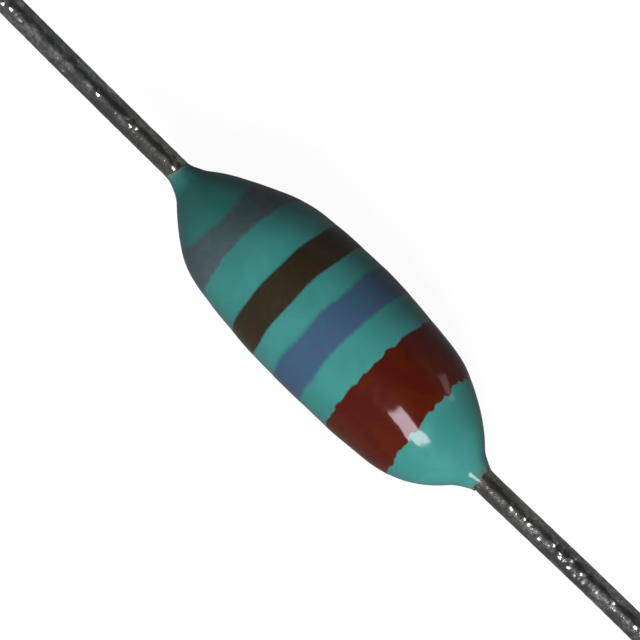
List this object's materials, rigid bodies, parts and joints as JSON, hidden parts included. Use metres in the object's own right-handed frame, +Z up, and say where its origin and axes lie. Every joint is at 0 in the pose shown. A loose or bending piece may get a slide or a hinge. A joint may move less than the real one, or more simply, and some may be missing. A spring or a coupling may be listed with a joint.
{
  "type": "axial inductor",
  "caption": "Resin-dipped axial inductor: teal barrel with painted colour bands and a straight tinned wire lead at each end, wound on a ferrite drum.",
  "frame": {"origin": "on the axis, at the middle of the body", "axes": "+X along the axis towards the end with the wide red band, +Z up"},
  "size_m": [0.0666, 0.0036, 0.0036],
  "materials": {
    "ferrite": "matte",
    "enamelled_wire": "gloss",
    "lead_wire": "satin",
    "adhesive": "gloss",
    "solder": "satin",
    "coating": "gloss",
    "silver_paint": "gloss",
    "brown_paint": "gloss",
    "violet_paint": "gloss",
    "red_paint": "gloss"
  },
  "bodies": {
    "root": {"ferrite_core": "ferrite", "winding": "enamelled_wire", "lead_left": "lead_wire", "lead_right": "lead_wire", "adhesive_left": "adhesive", "adhesive_right": "adhesive", "solder_left": "solder", "solder_right": "solder", "coating": "coating", "band_silver": "silver_paint", "band_brown": "brown_paint", "band_violet": "violet_paint", "band_red": "red_paint"}
  },
  "joints": []
}
